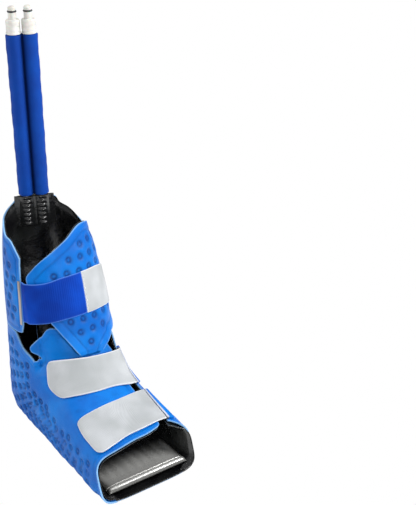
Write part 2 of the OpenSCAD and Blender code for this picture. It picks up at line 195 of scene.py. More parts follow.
def glossy_film(name):
    """Black welded film: wet highlights, fine creases and handling haze."""
    m = Mat(name, Specular_IOR_Level=0.75, Coat_Roughness=0.12)
    crease = m.noise(60.0, 5.0, roughness=0.65)
    haze = m.noise(14.0, 3.0)
    tone = m.mix(haze.clamp(0.4, 0.75), rgb(0.004, 0.004, 0.005), rgb(0.018, 0.020, 0.019))
    return m.finish(
        tone, haze * 0.14 + 0.19, crease * 1.6 + m.noise(240.0, 2.0) * 0.25, 0.0006, haze * 0.6
    )


def foam(name):
    """Knitted cover on foam: fine knit, broad dents and painted shade in the valley between its two
    lobes.
    """
    m = Mat(name, Specular_IOR_Level=0.14)
    x, y = m.cloth()
    knit = (x * 5200.0).sin() * (y * 4200.0).sin()
    broad = m.noise(30.0, 3.0)
    tone = m.mix(broad.clamp(0.2, 0.85), rgb(0.0, 0.040, 0.29), rgb(0.0, 0.058, 0.37))
    # Painted shade in the valley between the two lobes
    tone = m.mix(m.attribute("hollow_shade"), tone, rgb(0.0, 0.008, 0.07))
    return m.finish(tone, broad * 0.16 + 0.50, knit * 0.25 + m.noise(300.0, 3.0) * 0.6, 0.00025)


def plastic(name, low, high, rough, coat=0.0, **more):
    """Moulded plastic, rubber or drawn metal with a faint cloud in its tone."""
    m = Mat(name, **more)
    cloud = m.noise(70.0, 3.0)
    grain = m.noise(1400.0, 2.0)
    tone = m.mix(cloud.clamp(0.35, 0.7), low, high)
    return m.finish(tone, cloud * 0.14 + (rough - 0.07), grain * 0.4 + cloud, 0.00006, coat)


AZURE = fabric(
    "azure_fabric", rgb(0.0, 0.02, 0.14), rgb(0.0, 0.12, 0.52), rgb(0.0, 0.20, 0.70), 0.40
)
RIM = fabric("azure_cut_edge", rgb(0.03, 0.14, 0.4), rgb(0.14, 0.34, 0.66), rgb(0.26, 0.48, 0.80))
FILM = glossy_film("black_film")
ELASTIC = webbing(
    "royal_elastic", rgb(0.0, 0.030, 0.30), rgb(0.0, 0.062, 0.50), 2400.0, 0.7, 0.00012,
    edge=rgb(0.08, 0.22, 0.70),
)
HOOK = webbing(
    "grey_hook_strap", rgb(0.40, 0.42, 0.43), rgb(0.54, 0.56, 0.58), 4200.0, 0.62, 0.0001,
    edge=rgb(0.74, 0.75, 0.78),
)
TAPE = webbing("beige_trim_tape", rgb(0.34, 0.30, 0.27), rgb(0.48, 0.44, 0.41), 3000.0, 0.7)
STRIP = webbing("pale_weld_strip", rgb(0.46, 0.50, 0.60), rgb(0.62, 0.66, 0.76), 2500.0, 0.5)
THREAD = webbing("white_thread", rgb(0.70, 0.71, 0.73), rgb(0.86, 0.86, 0.87), 9000.0, 0.6)
FOAM = foam("royal_foam_cover")
CLEAR = plastic("smoky_tube", rgb(0.10, 0.11, 0.12), rgb(0.22, 0.23, 0.24), 0.2, coat=0.5)
IVORY = plastic(
    "ivory_plastic", rgb(0.66, 0.65, 0.60), rgb(0.80, 0.79, 0.75), 0.34,
    Subsurface_Weight=0.15, Subsurface_Scale=0.004,
)
RUBBER = plastic("seal_rubber", rgb(0.010, 0.010, 0.011), rgb(0.03, 0.03, 0.03), 0.45)
STEEL = plastic("spring_steel", rgb(0.45, 0.45, 0.46), rgb(0.62, 0.62, 0.63), 0.28, Metallic=1.0)


# ---------------------------------------------------------------- the boot's skin
# Each station in millimetres: rear or sole y and z, front or instep y and z, half width.
# Then the squareness of its rear and front halves. All are as in the part's source.
STATIONS = np.array([
    [50, 300, -30, 300, 48, 2.1, 2.1],
    [55, 240, -54, 242, 56, 2.2, 2.2],
    [56, 185, -72, 188, 60, 2.3, 2.3],
    [56, 135, -84, 145, 61, 2.4, 2.4],
    [55, 90, -92, 124, 61, 2.6, 2.5],
    [54, 50, -98, 112, 62, 2.8, 2.6],
    [48, 22, -104, 104, 63, 3.2, 2.8],
    [30, 3, -110, 98, 62, 4, 3],
    [0, 1.2, -117, 92, 61, 5, 3.2],
    [-45, 1.2, -135, 84, 62, 5, 3.3],
    [-113, 1.2, -164, 74.5, 64.5, 5, 3.4],
    [-228, 1.2, -208, 64, 68, 5, 3.5],
    [-243, 1.2, -222, 58, 66, 5, 3.5],
]) * [MM, MM, MM, MM, MM, 1, 1]


def weights(f):
    """Catmull-Rom weights of the four corners round a point f of the way along."""
    return (
        (-f + 2 * f**2 - f**3) / 2,
        (2 - 5 * f**2 + 3 * f**3) / 2,
        (f + 4 * f**2 - 3 * f**3) / 2,
        (f**3 - f**2) / 2,
    )


def stations_at(s):
    last = len(STATIONS) - 1
    k = np.clip(np.floor(s).astype(int), 0, last - 1)
    return sum(
        w[:, None] * STATIONS[np.clip(k + n, 0, last)]
        for n, w in zip((-1, 0, 1, 2), weights(s - k))
    )


def bent(x, power):
    return np.sign(x) * np.abs(x) ** (2 / power)


def skin(angle, s, out):
    """Points of the skin: angle 0 at the back or sole, 90 at +X, 180 at the shin."""
    angle, s, out = np.broadcast_arrays(*(np.atleast_1d(np.asarray(v, float)) for v in (angle, s, out)))
    q = stations_at(s)
    zero = np.zeros(len(s))
    rear = np.stack([zero, q[:, 0], q[:, 1]], 1)
    front = np.stack([zero, q[:, 2], q[:, 3]], 1)
    half = np.linalg.norm(rear - front, axis=1)[:, None] / 2
    turn = np.radians(angle)
    power = np.where(np.cos(turn) > 0, q[:, 5], q[:, 6])
    along = (rear - front) / (2 * half) * (half + out[:, None]) * bent(np.cos(turn), power)[:, None]
    side = np.stack([(q[:, 4] + out) * bent(np.sin(turn), power), zero, zero], 1)
    return (rear + front) / 2 + along + side


def net_at(net, a, b):
    """Angle and s at row a and column b of a net, along smooth lines."""
    net = np.asarray(net, float)
    for axis in (0, 1):
        first, second = net.take(0, axis), net.take(1, axis)
        last, before = net.take(-1, axis), net.take(-2, axis)
        net = np.concatenate(
            [np.expand_dims(2 * first - second, axis), net, np.expand_dims(2 * last - before, axis)], axis
        )
    i = np.clip(np.floor(a).astype(int), 0, net.shape[0] - 4)
    j = np.clip(np.floor(b).astype(int), 0, net.shape[1] - 4)
    total = 0
    for n, wa in enumerate(weights(a - i)):
        for m, wb in enumerate(weights(b - j)):
            total = total + (wa * wb)[:, None] * net[i + n, j + m]
    return total


def smooth(x, low, high):
    t = np.clip((x - low) / (high - low), 0, 1)
    return t * t * (3 - 2 * t)


def nearest(points, queries):
    """Distance from each query to the nearest point, and that point's index."""
    tree = KDTree(len(points))
    for k, p in enumerate(points):
        tree.insert(p, k)
    tree.balance()
    found = [tree.find(q) for q in queries]
    return np.array([f[2] for f in found]), np.array([f[1] for f in found])


# ---------------------------------------------------------------- outlines
# Each net is rows of (angle, s) points on the skin: s counts the stations from the top.
BACK_ANGLES = (-63, -45, -27, -14, 15, 44, 48, 70, 92)
BACK_TOP = (0.45, 0.38, 0.3, 0.2, 0.2, 0.3, 0.5, 0.6, 0.75)
BACK_BODY = [[[angle, s] for angle in BACK_ANGLES] for s in (1.5, 2.2, 2.985)]
BACK = [[[angle, s] for angle, s in zip(BACK_ANGLES, BACK_TOP)]] + BACK_BODY
BACK_LINER_TOP = [
    [-63, 0.42], [-45, 0.35], [-27, 0.27], [-14, 0.22], [15, 0.22], [44, 0.28], [52, 0.42], [70, 0.52],
    [92, 0.70],
]
CALF_FLAP = [
    [[296.1, 0.45], [278, 0.64], [262, 0.7], [247, 0.95]],
    [[296.1, 1.3], [278, 1.25], [262, 1.2], [249, 1.2]],
    [[296.1, 2], [278, 2], [264, 2], [252, 1.9]],
    [[296.1, 2.55], [278, 2.55], [266, 2.5], [255, 2.5]],
    [[296.1, 2.955], [280, 2.955], [269, 2.94], [260, 2.88]],
]
SHIN_FLAP = [
    [[93, 0.75], [125, 0.55], [155, 0.5], [184, 0.7], [214, 0.95], [235, 1.22]],
    [[93, 1.4], [125, 1.4], [155, 1.4], [184, 1.4], [214, 1.4], [240, 1.44]],
    [[93, 2], [122, 2], [150, 2], [178, 2], [205, 2], [228, 2]],
    [[93, 2.5], [118, 2.5], [145, 2.45], [172, 2.4], [196, 2.4], [216, 2.36]],
    [[93, 2.9], [120, 3.05], [144, 3.25], [170, 3], [192, 2.85], [205, 2.72]],
    [[93, 3.2], [140, 3.4], [156, 3.65], [168, 3.55], [182, 3.4], [195, 3.2]],
    [[93, 3.4], [150, 3.6], [165, 4.08], [172, 4.04], [180, 3.98], [188, 3.9]],
]
LEFT_FOOT = [
    [[359.9, 3], [312, 2.985], [271, 2.985], [240, 3], [216, 2.64], [150, 3.1]],
    [[359.9, 3.5], [312, 3.5], [264, 3.52], [251, 3.42], [205, 3.2], [146, 3.8]],
    [[359.9, 4.1], [310, 4.1], [249, 4.06], [241, 3.96], [195, 4], [144, 4.5]],
    [[359.9, 5], [306, 5], [254, 5], [238, 5], [195, 5], [150, 5]],
    [[359.9, 6], [304, 6], [256, 6], [238, 6], [195, 6], [152, 6]],
    [[359.9, 7], [302, 7], [258, 7], [238, 7], [195, 7], [154, 7]],
    [[336, 8], [302, 8], [260, 8], [238, 8], [195, 8], [156, 8]],
    [[336, 9], [302, 9], [262, 9], [238, 9], [195, 9], [157, 9]],
    [[336, 10], [302, 10], [264, 10], [238, 10], [195, 10], [159, 10]],
    [[336, 11], [302, 11.02], [264, 11], [230, 11], [195, 11.06], [165, 10.8]],
]
RIGHT_FOOT = [
    [[0.1, 3], [40, 3], [72, 3], [95, 3.04]],
    [[0.1, 3.6], [42, 3.6], [78, 3.6], [112, 3.7]],
    [[0.1, 4.2], [44, 4.2], [85, 4.2], [125, 4.3]],
    [[0.1, 5], [46, 5], [86, 5], [127, 5]],
    [[0.1, 6], [48, 6], [88, 6], [130, 6]],
    [[0.1, 7], [52, 7], [92, 7], [133, 7]],
    [[24, 8], [54, 8], [94, 8], [136, 8]],
    [[24, 9], [54, 9], [96, 9], [139, 9]],
    [[24, 10], [54, 10], [98, 10], [144, 10]],
    [[24, 10.94], [54, 10.94], [118, 10.92], [150, 10.72]],
]
RIGHT_LINER = RIGHT_FOOT[:-1] + [[[24, 11.02], [54, 11.03], [118, 11.02], [152, 10.83]]]
SOLE_HALVES = ((2, 7.1), (13, 7.6), (23.5, 8), (23.5, 9), (23.5, 10), (23.5, 10.96))
SOLE = [[[-half, s], [0, s], [half, s]] for half, s in SOLE_HALVES]
SOLE_LIP = [[[-30, s], [0, s], [30, s]] for s in (10.6, 11.02)]
ELASTIC_NET = [
    [[249.7, 1.47], [241.5, 1.46], [228, 1.44], [212, 1.4], [194, 1.33], [172, 1.31]],
    [[254.5, 2.5], [243, 2.46], [230, 2.41], [214, 2.36], [196, 2.3], [175, 2.28]],
]
TAB_NET = [[[172, 1.31], [148, 1.34], [124, 1.46]], [[175, 2.28], [150, 2.32], [122, 2.45]]]
ANKLE_NET = [
    [[130.5, 4.8], [150, 4.55], [174, 4.25], [190, 4.0], [210, 3.86], [229, 3.9]],
    [[137.5, 7], [156, 6.8], [178, 6.6], [194, 6.3], [212, 6.1], [232, 6.1]],
    [[144.5, 8.8], [160, 8.75], [178, 8.5], [194, 8.3], [210, 8.1], [226, 7.9]],
]
TOE_NET = [
    [[144.5, 9.32], [160, 9.32], [178, 9.36], [196, 9.44], [210, 9.5], [224, 9.6]],
    [[148.5, 10], [162, 10], [180, 10.1], [198, 10.2], [212, 10.2], [228, 10.2]],
    [[153.5, 10.7], [166, 10.72], [180, 10.78], [196, 10.9], [212, 10.92], [225, 10.8]],
]
TRIM_NET = [[[254, 1.46], [250.6, 1.46]], [[256, 2], [252.8, 2]], [[259, 2.6], [256.2, 2.6]]]


def beside(net, far, near):
    """The outline of a strip beside a strap's sewn end, between two angles from it."""
    return [[[row[0][0] + far, row[0][1]], [row[0][0] + near, row[0][1]]] for row in net]


def flap_rise(angle, s):
    """The tongue of the shin flap rises over the instep."""
    return np.interp(s, [2.3, 3.2, 3.65, 4.05], [0, 3 * MM, 3.4 * MM, 0.6 * MM])


def instep_sink(angle, s):
    """The instep runs in under the tongue of the shin flap."""
    share = np.where(angle > 249, 0, np.minimum(1, (249 - angle) / 8))
    return share * np.interp(s, [3.6, 4.3, 5], [-8.5 * MM, -5 * MM, 0])


def elastic_rise(angle, s):
    """The sewn end of the elastic strap goes down to the calf flap."""
    return np.interp(angle, [242, 249], [0, -3.4 * MM])


# ---------------------------------------------------------------- soft sheets
ROW_PITCH = 0.87  # distance of staggered rows, as a share of the distance in a row
EDGE_TAPER = 9 * MM
ROUND_EDGE = 0.35 * MM


class Patch:
    """A sheet's points for its relief: angle, s, column b, base and way to the edge."""

    def __init__(self, angle, s, b, base, edge):
        self.angle = angle
        self.s = s
        self.b = b
        self.base = base
        self.edge = edge


def lengths_along(line):
    """The length run through at each point of a line."""
    return np.concatenate([[0], np.cumsum(np.linalg.norm(np.diff(line, axis=0), axis=1))])


def dimple_centres(patch, pitch, keep, clear):
    """A staggered lattice of weld dimples, even over the skin, clear of the outline."""
    found = []
    run = np.linspace(patch.s.min(), patch.s.max(), 400)
    middle = float(np.median(patch.angle))
    line = skin(np.full(400, middle), run, 0)
    length = lengths_along(line)
    rows = int(length[-1] / (pitch * ROW_PITCH))
    for k in range(rows):
        s = float(np.interp((k + 0.5) * pitch * ROW_PITCH, length, run))
        turn = np.linspace(patch.angle.min(), patch.angle.max(), 500)
        ring = skin(turn, np.full(500, s), 0)
        around = lengths_along(ring)
        shift = pitch / 2 if k % 2 else 0
        for n in range(int(around[-1] / pitch) + 1):
            angle = float(np.interp(n * pitch + shift, around, turn))
            strength = keep(angle, s)
            if strength > 0:
                found.append((angle, s, strength))
    if not found:
        return []
    places = skin([f[0] for f in found], [f[1] for f in found], 0)
    away, at = nearest(patch.base, places)
    good = (away < 6 * MM) & (patch.edge[at] > clear)
    return [(patch.base[at[k]], found[k][2]) for k in range(len(found)) if good[k]]


def everywhere(angle, s):
    return 1


def bladder(pitch=15 * MM, keep=everywhere, band=11 * MM, puff=1.1, ring=1.0, seam=0.7, taper=0.0):
    """Relief of a welded bladder: a flat border, its weld line, and ring dimples.

    Puff, ring and seam are heights in millimetres; keep gives a dimple's strength. It also returns the
    painted shade of the weld line and the dimples.
    """

    def relief(patch):
        edge = patch.edge
        height = puff * MM * smooth(edge, band, band + 12 * MM)
        height -= seam * MM * np.exp(-(((edge - band) / (1.3 * MM)) ** 2))
        # Painted shade along the weld line; the dimples add theirs below
        hollow_shade = 0.5 * seam * np.exp(-(((edge - band) / (1.6 * MM)) ** 2))
        centres = dimple_centres(patch, pitch, keep, band + 5.5 * MM)
        if centres:
            away, at = nearest([c[0] for c in centres], patch.base)
            power = np.array([c[1] for c in centres])[at]
            groove = np.exp(-(((away - 3.1 * MM) / (1.35 * MM)) ** 2))
            bowl = np.exp(-((away / (6.5 * MM)) ** 2))
            height -= power * ring * MM * (1.2 * groove + 0.9 * bowl)
            # Painted shade in the dimples
            hollow_shade = np.maximum(hollow_shade, power * (0.85 * groove + 0.25 * bowl))
        wave = np.sin(patch.base[:, 2] * 95 + patch.base[:, 0] * 40) * np.sin(patch.base[:, 1] * 80 + 1.3)
        height += 0.35 * MM * wave * smooth(edge, band, band + 10 * MM)
        height -= taper * (1 - smooth(edge, 0, EDGE_TAPER))
        return height, hollow_shade

    return relief


def plain(patch):
    return np.zeros(len(patch.base)), np.zeros(len(patch.base))


def from_bm(name, bm, *materials):
    """An object of a finished mesh, shaded smooth."""
    for f in bm.faces:
        f.smooth = True
    mesh = bpy.data.meshes.new(name)
    bm.to_mesh(mesh)
    bm.free()
    for m in materials:
        mesh.materials.append(m)
    piece = bpy.data.objects.new(name, mesh)
    bpy.context.collection.objects.link(piece)
    return piece


def corner_rounded(a, b, corners, cells, row_size, column_size):
    """Rows and columns of a net's points, drawn in round each corner's radius."""
    for at_a, at_b, radius in corners:
        sign_a = 1 if at_a == 0 else -1
        sign_b = 1 if at_b == 0 else -1
        reach_a = min(1.0, radius / row_size[min(at_a, cells[0] - 1)])
        reach_b = min(1.0, radius / column_size[min(at_b, cells[1] - 1)])
        x = 1 - sign_a * (a - at_a) / reach_a
        y = 1 - sign_b * (b - at_b) / reach_b
        inside = (x > 0) & (y > 0)
        bent_a = at_a + sign_a * reach_a * (1 - x * np.sqrt(1 - np.clip(y, 0, 1) ** 2 / 2))
        bent_b = at_b + sign_b * reach_b * (1 - y * np.sqrt(1 - np.clip(x, 0, 1) ** 2 / 2))
        a = np.where(inside, bent_a, a)
        b = np.where(inside, bent_b, b)
    return a, b


def grid_of(cells, counts, holes):
    """A flat grid whose x is the column and y the row of a net, less its holes."""
    shares = [
        np.interp(np.arange(n.sum() + 1), np.concatenate([[0], np.cumsum(n)]), np.arange(cell + 1))
        for n, cell in zip(counts, cells)
    ]
    down, across = (int(n.sum()) for n in counts)
    bm = bmesh.new()
    bmesh.ops.create_grid(bm, x_segments=across, y_segments=down, size=1)
    for v in bm.verts:
        column = round((v.co.x + 1) / 2 * across)
        row = round((v.co.y + 1) / 2 * down)
        v.co = (shares[1][column], shares[0][row], 0)
    middles = {f: f.calc_center_median() for f in bm.faces}
    cut = [f for f, middle in middles.items() if (int(middle.y), int(middle.x)) in holes]
    bmesh.ops.delete(bm, geom=cut, context="FACES")
    bm.verts.ensure_lookup_table()
    return bm


def bevel_rims(piece, width):
    """Round the long edges between a sheet's faces and its rim."""
    bm = bmesh.new()
    bm.from_mesh(piece.data)
    rims = [
        e for e in bm.edges
        if len(e.link_faces) == 2
        and {f.material_index for f in e.link_faces} == {0, 1}
        and e.calc_face_angle(0) > 0.7
    ]
    bmesh.ops.bevel(
        bm, geom=rims, offset=width, offset_type="OFFSET",
        affect="EDGES", segments=2, profile=0.5, clamp_overlap=True, material=-1,
    )
    bm.to_mesh(piece.data)
    bm.free()


def mark(mesh, key, values):
    """A value at every point, which a material reads by its key."""
    layer = mesh.attributes.new(key, "FLOAT", "POINT")
    layer.data.foreach_set("value", np.asarray(values, np.float32))


def sheet(
    name, net, low, high, holes=(), rise=None, corners=(), relief=plain, face=1, material=None,
    rim=None, step=STEP, rim_band=0.0, thin_edge=1.0, open_end=False, own_node=True,
):
    """A closed sheet on a net over the skin, its detail on the face that shows."""
    table = np.asarray(net, float)
    rows, cols = table.shape[0] - 1, table.shape[1] - 1
    grid = skin(table[..., 0].ravel(), table[..., 1].ravel(), 0).reshape(rows + 1, cols + 1, 3)
    down = np.linalg.norm(np.diff(grid, axis=0), axis=2).max(1)
    across = np.linalg.norm(np.diff(grid, axis=1), axis=2).max(0)
    counts = [np.maximum(1, np.round(sizes / step)).astype(int) for sizes in (down, across)]
    bm = grid_of((rows, cols), counts, holes)
    flat = np.array([v.co[:] for v in bm.verts])
    a, b = corner_rounded(flat[:, 1], flat[:, 0], corners, (rows, cols), down, across)

    place = net_at(net, a, b)
    angle, s = place[:, 0], place[:, 1]
    top = high if face > 0 else low
    if rise:
        top = top + rise(angle, s)
    base = skin(angle, s, top)
    normal = skin(angle, s, top + MM) - base
    normal /= np.linalg.norm(normal, axis=1)[:, None]
    border = sorted({v.index for e in bm.edges if e.is_boundary for v in e.verts})
    if open_end:
        border = [k for k in border if a[k] < rows - 0.02]
    edge = nearest(base[border], base)[0]
    height, hollow_shade = relief(Patch(angle, s, b, base, edge))
    points = base + normal * (height * face)[:, None]
    for v, p in zip(bm.verts, points):
        v.co = p
    bm.normal_update()
    lean = sum(f.normal.dot(Vector(normal[f.verts[0].index])) for f in bm.faces)
    if lean * face < 0:
        bmesh.ops.reverse_faces(bm, faces=bm.faces)

    # Flat coordinates in metres, from the longest rows and columns of the net
    width = np.interp(b, np.arange(cols + 1), np.concatenate([[0], np.cumsum(across)]))
    length = np.interp(a, np.arange(rows + 1), np.concatenate([[0], np.cumsum(down)]))
    uv = bm.loops.layers.uv.new("cloth")
    for f in bm.faces:
        for loop in f.loops:
            loop[uv].uv = (width[loop.vert.index], length[loop.vert.index])
    area = sum(f.calc_area() for f in bm.faces)
    raw = from_bm(name + "_raw", bm, material, rim or material)
    # The painted shade of the dimples and weld lines, read by the fabric's colour
    mark(raw.data, "hollow_shade", hollow_shade)
    mark(raw.data, "rim", 1 - smooth(edge, 0, rim_band) if rim_band else hollow_shade * 0)

    thick = raw.modifiers.new("thick", "SOLIDIFY")
    thick.thickness = high - low
    thick.offset = -1
    thick.use_rim = True
    thick.material_offset_rim = 1
    if thin_edge < 1:
        group = raw.vertex_groups.new(name="thickness")
        for k, share in enumerate(smooth(edge, 0, EDGE_TAPER)):
            group.add([k], float(share), "REPLACE")
        thick.vertex_group = "thickness"
        thick.thickness_vertex_group = thin_edge
    piece = settled(name + "_cloth", raw)
    bevel_rims(piece, min(ROUND_EDGE, 0.3 * (high - low) * thin_edge))
    piece["flat"] = [float(across.sum()), float(down.sum()), float(area)]
    if own_node:
        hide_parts(name)
    return piece


def settled(name, raw):
    """The object with its modifiers applied."""
    graph = bpy.context.evaluated_depsgraph_get()
    mesh = bpy.data.meshes.new_from_object(raw.evaluated_get(graph))
    bpy.data.objects.remove(raw)
    mesh.name = name
    piece = bpy.data.objects.new(name, mesh)
    bpy.context.collection.objects.link(piece)
    return piece


# ---------------------------------------------------------------- leg
PANEL = (-2 * MM, 0.0)
LINER = (-6.6 * MM, -4.5 * MM)
# The stretch of each flap's sewn edge over which it bends away from the boot
HINGES = {
    "calf_flap": dict(start=(-0.0231, -0.0139, 0.2), end=(-0.0360, -0.0216, 0.2)),
    "shin_flap": dict(start=(0.0377, 0.0226, 0.2), end=(0.0240, 0.0144, 0.2)),
}


def fasten(piece, body):
    """Fasten a piece to its body's empty; a flap's piece is only baked in place, with no body."""
    if body in HINGES:
        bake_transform(piece)
    else:
        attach(piece, body)


def panel(name, net, body, under, low_high=PANEL, **detail):
    """An outer panel of azure fabric, fastened to its body; under is not used."""
    piece = sheet(name, net, *low_high, material=AZURE, rim=RIM, **detail)
    fasten(piece, body)


def liner(name, net, body, thin_edge=0.2, **detail):
    """The film bladder inside a panel, with its pillows on the inner face."""
    relief = bladder(pitch=16 * MM, band=8 * MM, puff=1.6, seam=0.3, taper=3.3 * MM)
    piece = sheet(name, net, *LINER, material=FILM, face=-1, thin_edge=thin_edge, relief=relief, **detail)
    fasten(piece, body)


def below_top(angle, s):
    """The back's dimples start below its plain top."""
    return 1 if s > 0.9 else 0


panel(
    "back_panel", BACK, "boot", "back_liner", rim_band=2.2 * MM, relief=bladder(keep=below_top, seam=0.3)
)
liner("back_liner", [BACK_LINER_TOP] + BACK_BODY, "boot")

panel(
    "calf_flap_panel", CALF_FLAP, "calf_flap", "calf_flap_liner", rim_band=1.8 * MM,
    relief=bladder(pitch=16 * MM, puff=0.9, band=6 * MM), corners=((0, 3, 7 * MM),),
)
liner("calf_flap_liner", CALF_FLAP, "calf_flap", corners=((0, 3, 9 * MM),))

# The cells cut away beside the tongue, and the flap's free top corner
SHIN_CUTS = dict(holes={(4, 0), (4, 1), (5, 0), (5, 1)}, corners=((0, 5, 14 * MM),))
panel(
    "shin_flap_panel", SHIN_FLAP, "shin_flap", "shin_flap_liner", rim_band=1.8 * MM, rise=flap_rise,
    relief=bladder(pitch=17.5 * MM, puff=1.2, ring=0.95), open_end=True, **SHIN_CUTS,
)
liner("shin_flap_liner", SHIN_FLAP, "shin_flap", rise=flap_rise, **SHIN_CUTS)

trim = sheet("calf_flap_trim", TRIM_NET, 0.3 * MM, 1.5 * MM, material=TAPE, step=1.2 * MM)
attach(trim, "calf_flap")


# ---------------------------------------------------------------- foot
def left_keep(angle, s):
    """Dimples on the heel and the outer side, fainter towards the toe."""
    if 258 < angle < 345:
        return 1.0 if s < 7.8 else 0.7
    return 0.0


def right_keep(angle, s):
    """Dimples up to the plain band at the toe."""
    return 1.0 if s < 10.4 else 0.0


def liner_toe(angle, s):
    """The right liner's last row lies closer under its panel."""
    return 1.6 * MM * smooth(s, 10.95, 11.0)


ANKLE_SLOT = {(0, 2), (1, 2)}
COARSE = 2.4 * MM
panel(
    "left_foot_panel", LEFT_FOOT, "boot", "left_foot_liner", rim_band=1.6 * MM, holes=ANKLE_SLOT,
    rise=instep_sink, relief=bladder(pitch=14 * MM, keep=left_keep, band=7 * MM, ring=1.45, seam=0.3),
    corners=((9, 5, 9 * MM), (9, 0, 5 * MM)),
)
liner(
    "left_foot_liner", LEFT_FOOT, "boot", holes=ANKLE_SLOT, rise=instep_sink,
    corners=((9, 5, 9 * MM),), step=COARSE,
)
panel(
    "right_foot_panel", RIGHT_FOOT, "boot", "right_foot_liner", rim_band=1.6 * MM,
    relief=bladder(pitch=14 * MM, keep=right_keep, band=7 * MM, ring=1.3, seam=0.3),
)
liner("right_foot_liner", RIGHT_LINER, "boot", thin_edge=0.35, step=COARSE, rise=liner_toe)
panel(
    "sole_panel", SOLE, "boot", "sole_bladder", (-0.6 * MM, 1.1 * MM), rim_band=1.6 * MM,
    relief=bladder(puff=0.0, ring=0.8), step=COARSE,
)
lip = sheet("sole_lip", SOLE_LIP, -3.2 * MM, -2.3 * MM, material=FILM, step=COARSE, own_node=False)
fasten(lip, "boot")


def closed(bm, gap=0.02 * MM):
    """Weld the mesh's seam and cap its open ends."""
    bmesh.ops.remove_doubles(bm, verts=bm.verts, dist=gap)
    ends = [e for e in bm.edges if e.is_boundary]
    bmesh.ops.holes_fill(bm, edges=ends, sides=0)
    bmesh.ops.recalc_face_normals(bm, faces=bm.faces)
    return bm


def rolled_bladder():
    """The sole bladder: a welded pad whose front edge is rolled over a bar."""
    low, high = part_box("sole_bladder")
    front, rear = low[1], high[1]
    top = high[2] - 1.5 * MM
    bm = bmesh.new()
    bmesh.ops.create_grid(bm, x_segments=64, y_segments=120, size=1)
    # The closed section: along the underside, round the roll, back over the top
    radius = 4.0 * MM
    roll_y, roll_z = front + radius, 15.0 * MM
    under = [(rear - t * (rear - roll_y), 11.2 * MM) for t in np.linspace(0, 1, 30)]
    turn = [
        (roll_y - radius * math.sin(t), roll_z - radius * math.cos(t))
        for t in np.linspace(0.05, 1.32 * math.pi, 40)
    ]
    behind = roll_y + 2.5 * MM
    over = [
        (behind + t * (rear - behind), top + 0.8 * MM * math.sin(9 * t)) for t in np.linspace(0, 1, 60)
    ]
    line = np.array(under + turn + over)
    along = np.linspace(0, 1, len(line))
    half = stations_at(np.array([11.0]))[0, 4] - 12 * MM
    middle = 13.2 * MM
    for v in bm.verts:
        u = v.co.x
        t = (v.co.y + 1) / 2
        y = float(np.interp(t, along, line[:, 0]))
        z = float(np.interp(t, along, line[:, 1]))
        heel = 0.22 * smooth(y, -0.12, 0.0) + 0.30 * smooth(y, -0.02, 0.01) * u * u
        seam = (1 - abs(u) ** 12) ** 0.5 * (1 - 0.75 * smooth(y, rear - 12 * MM, rear))
        channel = 0.5 * MM * math.cos(u * 9 * math.pi) * smooth(y, front + 14 * MM, front + 40 * MM)
        bulge = (z - middle) * (0.12 + 0.88 * seam) + (channel if z > middle else 0) * seam
        v.co = (u * half * (1 - heel), y, middle + bulge)
    return closed(bm, 0.05 * MM)


def painted_reflection_film(name):
    """The film over the roll, with a painted reflection: a grey sheen towards the front and a painted
    highlight along the top of the roll.
    """
    m = Mat(name, Specular_IOR_Level=0.7)
    y, z = m.split(m.place(), 1, 2)
    front = 1.0 - y.clamp(-0.216, -0.165)
    streak = m.noise(120.0, 4.0)
    # Painted reflection: a grey sheen that fades from the front of the pad backwards
    tone = m.mix(front * 0.75, rgb(0.006, 0.006, 0.007), rgb(0.20, 0.20, 0.19))
    # Painted highlight along the top of the roll
    tone = m.mix((z.clamp(0.0165, 0.0182)) * front, tone, rgb(0.62, 0.62, 0.60))
    # Metallic towards the front, part of the painted reflection
    m.set(m.shader.inputs["Metallic"], front * 0.5)
    return m.finish(tone, streak * 0.12 + 0.22, streak, 0.0002)


PAINTED_REFLECTION_FILM = painted_reflection_film("film_painted_reflection")
pad = from_bm("sole_bladder_form", rolled_bladder(), PAINTED_REFLECTION_FILM)
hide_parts("sole_bladder")
fasten(pad, "boot")

# ---------------------------------------------------------------- straps
STRAP = (1.6 * MM, 3.4 * MM)


def strap_relief(waves, depth):
    """A strap's slight lift between the bladders and its pressed edge."""

    def relief(patch):
        height = depth * np.sin(patch.b * waves + 0.6) * smooth(patch.edge, 0, 8 * MM)
        height += 0.25 * MM * smooth(patch.edge, 0.6 * MM, 3 * MM)
        return height, patch.b * 0

    return relief


def strap(name, net, body, material, slot, held, rests_on, **detail):
    """A strap over the panels, on the body that it swings with."""
    piece = sheet(name, net, *STRAP, material=material, **detail)
    fasten(piece, body)


def stitches(name, net, body):
    """A zigzag row of thread across a strap, just beside its sewn end."""
    count, swing, beside_edge, high = 20, 0.035, 0.03, 3.75 * MM
    a = np.linspace(0.03, 0.97, count)
    b = beside_edge + np.where(np.arange(count) % 2, swing, -swing)
    place = net_at(net, a, b)
    points = skin(place[:, 0], place[:, 1], high)
    bm = bmesh.new()
    for p, q in zip(points, points[1:]):
        run = Vector(q - p)
        turn = run.to_track_quat("X", "Z").to_matrix().to_4x4()
        size = Matrix.Diagonal((run.length * 0.62, 0.42 * MM, 0.34 * MM, 1))
        place = Matrix.Translation(Vector((p + q) / 2)) @ turn @ size
        bmesh.ops.create_icosphere(bm, subdivisions=2, radius=1, matrix=place)
    fasten(from_bm(name, bm, THREAD), body)


